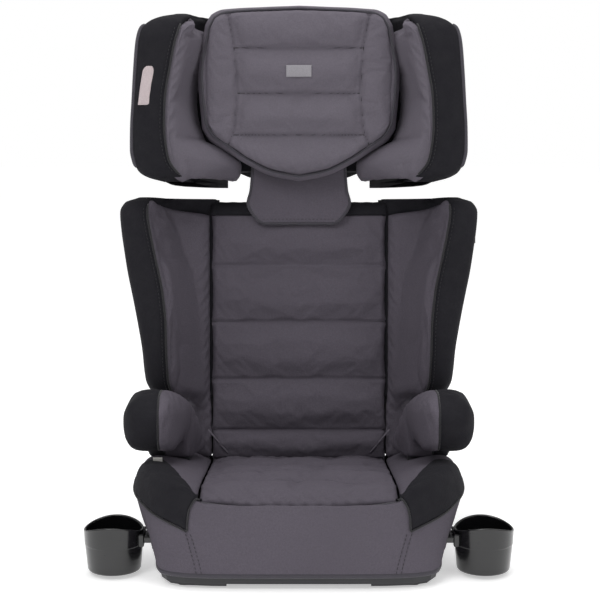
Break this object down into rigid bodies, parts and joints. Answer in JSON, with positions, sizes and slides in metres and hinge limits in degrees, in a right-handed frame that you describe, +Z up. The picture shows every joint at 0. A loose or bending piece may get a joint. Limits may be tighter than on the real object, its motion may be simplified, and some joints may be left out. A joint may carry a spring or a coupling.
{
  "type": "booster seat",
  "caption": "High-back child booster seat with reclining winged backrest, notched height-adjustable winged headrest, horn armrests and plug-in cup holders.",
  "frame": {"origin": "on the floor, under the middle of the seat's bounding box", "axes": "+Z up, the seat faces -Y, +X to the viewer's right; x = 0 is the plane of symmetry"},
  "size_m": [0.537, 0.4334, 0.7052],
  "materials": {
    "black_plastic": "moulded black polypropylene, fine grain",
    "rubber": "soft non-slip pads",
    "steel": "bright zinc-plated steel",
    "foam": "moulded foam under the cover",
    "grey_fabric": "knitted polyester, slightly purplish charcoal grey",
    "light_grey_fabric": "the same knit on the pillow and head wing pads",
    "black_fabric": "black knitted polyester",
    "gloss_black": "polished black cup holders"
  },
  "bodies": {
    "base": {"base_shell": "black_plastic", "base_pan": "black_plastic", "foot_pad_front_left": "rubber", "foot_pad_front_right": "rubber", "foot_pad_rear_left": "rubber", "foot_pad_rear_right": "rubber", "base_screw_1": "steel", "base_screw_2": "steel", "base_screw_3": "steel", "base_screw_4": "steel", "seat_foam": "foam", "seat_cover": "grey_fabric", "seat_pad": "grey_fabric", "armrest_core_left": "black_plastic", "armrest_core_right": "black_plastic", "armrest_cover_left": "black_fabric", "armrest_cover_right": "black_fabric", "armrest_inner_left": "grey_fabric", "armrest_inner_right": "grey_fabric", "cup_socket_left": "black_plastic", "cup_socket_right": "black_plastic", "hinge_rod": "steel", "rod_bracket_left": "black_plastic", "rod_bracket_right": "black_plastic"},
    "backrest": {"back_shell": "black_plastic", "back_pad": "grey_fabric", "back_top_trim": "black_fabric", "shoulder_pad_left": "grey_fabric", "shoulder_pad_right": "grey_fabric", "shoulder_cover_left": "black_fabric", "shoulder_cover_right": "black_fabric", "height_rack": "black_plastic", "guide_rail_left": "black_plastic", "guide_rail_right": "black_plastic", "rail_screw_1": "steel", "rail_screw_2": "steel", "rail_screw_3": "steel", "rail_screw_4": "steel", "hinge_hook_left": "black_plastic", "hinge_hook_right": "black_plastic"},
    "headrest": {"headrest_shell": "black_plastic", "head_back_pad": "grey_fabric", "head_pad_left": "light_grey_fabric", "head_pad_right": "light_grey_fabric", "head_cover_left": "black_fabric", "head_cover_right": "black_fabric", "head_pillow": "light_grey_fabric", "neck_flap": "grey_fabric", "headrest_mast": "black_plastic", "mast_screw_1": "steel", "mast_screw_2": "steel", "belt_guide_left": "black_plastic", "belt_guide_right": "black_plastic", "lever_pin": "steel", "lever_spring": "steel"},
    "release_lever": {"release_lever": "black_plastic"},
    "latch_bolt": {"latch_bolt": "steel"},
    "cup_holder_left": {"cup_holder_left": "gloss_black"},
    "cup_holder_right": {"cup_holder_right": "gloss_black"}
  },
  "joints": [
    {"name": "backrest_recline", "type": "hinge", "parent": "base", "child": "backrest", "pos_m": [0, 0.14, 0.062], "axis": [-1, 0, 0], "range_deg": [0, 20]},
    {"name": "headrest_height", "type": "slide", "parent": "backrest", "child": "headrest", "axis": [0, 0.1219, 0.9925], "range_m": [0, 0.12]},
    {"name": "release_lever_squeeze", "type": "hinge", "parent": "headrest", "child": "release_lever", "pos_m": [0, 0.18013, 0.315], "axis": [1, 0, 0], "range_deg": [0, 20], "stiffness_Nm_per_rad": 0.3, "springref_deg": -11.46},
    {"name": "latch_bolt_travel", "type": "slide", "parent": "headrest", "child": "latch_bolt", "axis": [0, 0.9925, -0.1219], "range_m": [0, 0.0062]},
    {"name": "cup_holder_left_pull", "type": "slide", "parent": "base", "child": "cup_holder_left", "axis": [-1, 0, 0], "range_m": [0, 0.03]},
    {"name": "cup_holder_right_pull", "type": "slide", "parent": "base", "child": "cup_holder_right", "axis": [1, 0, 0], "range_m": [0, 0.03]}
  ],
  "couplings": [
    {"joint": "latch_bolt_travel", "follows": "release_lever_squeeze", "m_per_rad": 0.0172}
  ]
}
